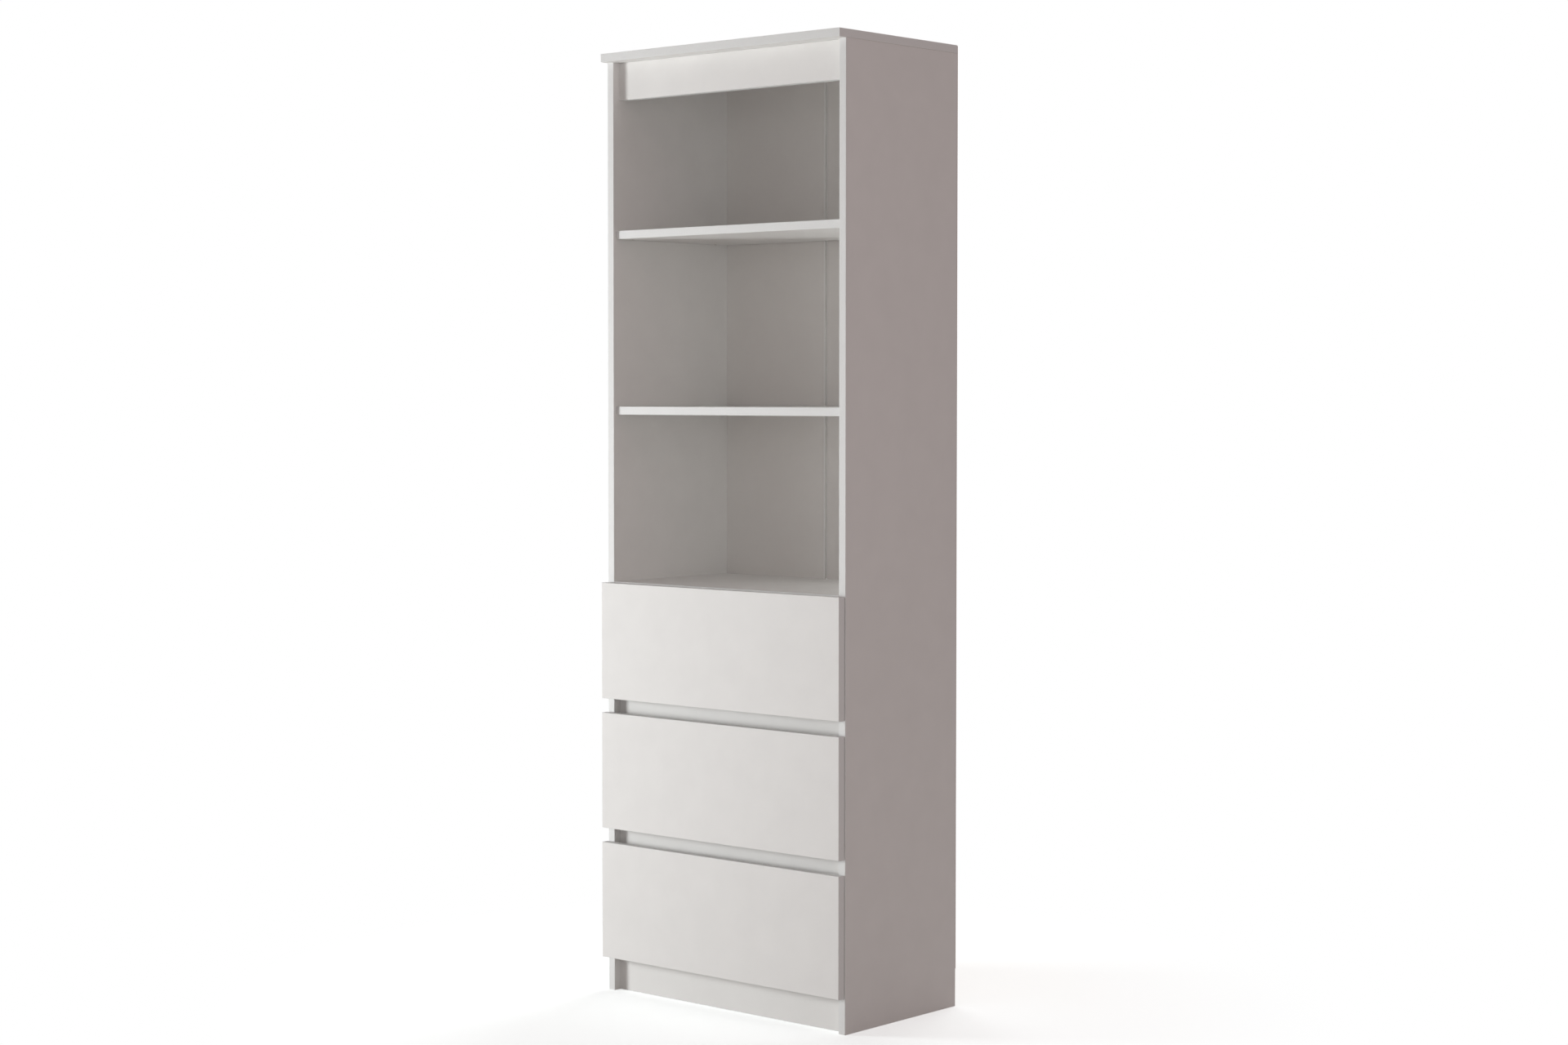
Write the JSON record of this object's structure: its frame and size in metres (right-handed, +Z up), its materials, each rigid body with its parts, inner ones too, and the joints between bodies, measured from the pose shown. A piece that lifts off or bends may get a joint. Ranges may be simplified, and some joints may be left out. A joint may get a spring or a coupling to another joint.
{
  "type": "bookcase with bottom drawers",
  "caption": "Tall narrow white bookcase: open bays with loose shelves over drawers with plain full-width fronts, finger gaps instead of handles, on roller runners.",
  "frame": {"origin": "on the floor, in the middle of the bookcase's width and depth", "axes": "+X to the right seen from the front, +Y to the back, +Z up"},
  "size_m": [0.6, 0.35, 1.82],
  "materials": {
    "white_board": "satin white melamine foil on chipboard",
    "white_hardboard": "white lacquered hardboard",
    "white_strip": "extruded white PVC",
    "white_steel": "white epoxy powder coat",
    "roller_plastic": "natural nylon",
    "zinc_steel": "bright zinc plate",
    "zinc_cast": "die-cast zinc",
    "beech": "raw beech"
  },
  "bodies": {
    "carcass": {"back_joint_strip": "white_strip", "back_panel_left": "white_hardboard", "back_panel_right": "white_hardboard", "bottom_panel": "white_board", "cabinet_runners_lower": "white_steel", "cabinet_runners_middle": "white_steel", "cabinet_runners_upper": "white_steel", "cam_bolts": "zinc_steel", "cam_locks": "zinc_cast", "deck_panel": "white_board", "dowels": "beech", "drawer_rail_lower": "white_board", "drawer_rail_upper": "white_board", "plinth_front": "white_board", "shelf_lower": "white_board", "shelf_pins": "zinc_steel", "shelf_upper": "white_board", "side_panel_left": "white_board", "side_panel_right": "white_board", "top_fascia": "white_board", "top_panel": "white_board", "wall_brackets": "zinc_steel"},
    "drawer_lower": {"drawer_back_lower": "white_board", "drawer_bottom_lower": "white_hardboard", "drawer_cam_lower_bolts": "zinc_steel", "drawer_cam_lower_locks": "zinc_cast", "drawer_dowels_lower": "beech", "drawer_front_lower": "white_board", "drawer_runners_lower": "white_steel", "drawer_side_left_lower": "white_board", "drawer_side_right_lower": "white_board"},
    "drawer_middle": {"drawer_back_middle": "white_board", "drawer_bottom_middle": "white_hardboard", "drawer_cam_middle_bolts": "zinc_steel", "drawer_cam_middle_locks": "zinc_cast", "drawer_dowels_middle": "beech", "drawer_front_middle": "white_board", "drawer_runners_middle": "white_steel", "drawer_side_left_middle": "white_board", "drawer_side_right_middle": "white_board"},
    "drawer_upper": {"drawer_back_upper": "white_board", "drawer_bottom_upper": "white_hardboard", "drawer_cam_upper_bolts": "zinc_steel", "drawer_cam_upper_locks": "zinc_cast", "drawer_dowels_upper": "beech", "drawer_front_upper": "white_board", "drawer_runners_upper": "white_steel", "drawer_side_left_upper": "white_board", "drawer_side_right_upper": "white_board"},
    "cabinet_rollers_lower": {"cabinet_rollers_lower": "roller_plastic"},
    "drawer_rollers_lower": {"drawer_rollers_lower": "roller_plastic"},
    "cabinet_rollers_middle": {"cabinet_rollers_middle": "roller_plastic"},
    "drawer_rollers_middle": {"drawer_rollers_middle": "roller_plastic"},
    "cabinet_rollers_upper": {"cabinet_rollers_upper": "roller_plastic"},
    "drawer_rollers_upper": {"drawer_rollers_upper": "roller_plastic"}
  },
  "joints": [
    {"name": "drawer_lower_slide", "type": "slide", "parent": "carcass", "child": "drawer_lower", "axis": [0, -1, 0], "range_m": [0, 0.225]},
    {"name": "drawer_middle_slide", "type": "slide", "parent": "carcass", "child": "drawer_middle", "axis": [0, -1, 0], "range_m": [0, 0.225]},
    {"name": "drawer_upper_slide", "type": "slide", "parent": "carcass", "child": "drawer_upper", "axis": [0, -1, 0], "range_m": [0, 0.225]},
    {"name": "cabinet_rollers_lower_turn", "type": "hinge", "parent": "carcass", "child": "cabinet_rollers_lower", "pos_m": [0, -0.1425, 0.1073], "axis": [1, 0, 0], "range_deg": [0, 1290]},
    {"name": "drawer_rollers_lower_turn", "type": "hinge", "parent": "drawer_lower", "child": "drawer_rollers_lower", "pos_m": [0, 0.129, 0.1091], "axis": [1, 0, 0], "range_deg": [0, 1290]},
    {"name": "cabinet_rollers_middle_turn", "type": "hinge", "parent": "carcass", "child": "cabinet_rollers_middle", "pos_m": [0, -0.1425, 0.3573], "axis": [1, 0, 0], "range_deg": [0, 1290]},
    {"name": "drawer_rollers_middle_turn", "type": "hinge", "parent": "drawer_middle", "child": "drawer_rollers_middle", "pos_m": [0, 0.129, 0.3591], "axis": [1, 0, 0], "range_deg": [0, 1290]},
    {"name": "cabinet_rollers_upper_turn", "type": "hinge", "parent": "carcass", "child": "cabinet_rollers_upper", "pos_m": [0, -0.1425, 0.6103], "axis": [1, 0, 0], "range_deg": [0, 1290]},
    {"name": "drawer_rollers_upper_turn", "type": "hinge", "parent": "drawer_upper", "child": "drawer_rollers_upper", "pos_m": [0, 0.129, 0.6121], "axis": [1, 0, 0], "range_deg": [0, 1290]}
  ],
  "couplings": [
    {"joint": "cabinet_rollers_lower_turn", "follows": "drawer_lower_slide", "rad_per_m": 100},
    {"joint": "drawer_rollers_lower_turn", "follows": "drawer_lower_slide", "rad_per_m": 100},
    {"joint": "cabinet_rollers_middle_turn", "follows": "drawer_middle_slide", "rad_per_m": 100},
    {"joint": "drawer_rollers_middle_turn", "follows": "drawer_middle_slide", "rad_per_m": 100},
    {"joint": "cabinet_rollers_upper_turn", "follows": "drawer_upper_slide", "rad_per_m": 100},
    {"joint": "drawer_rollers_upper_turn", "follows": "drawer_upper_slide", "rad_per_m": 100}
  ]
}
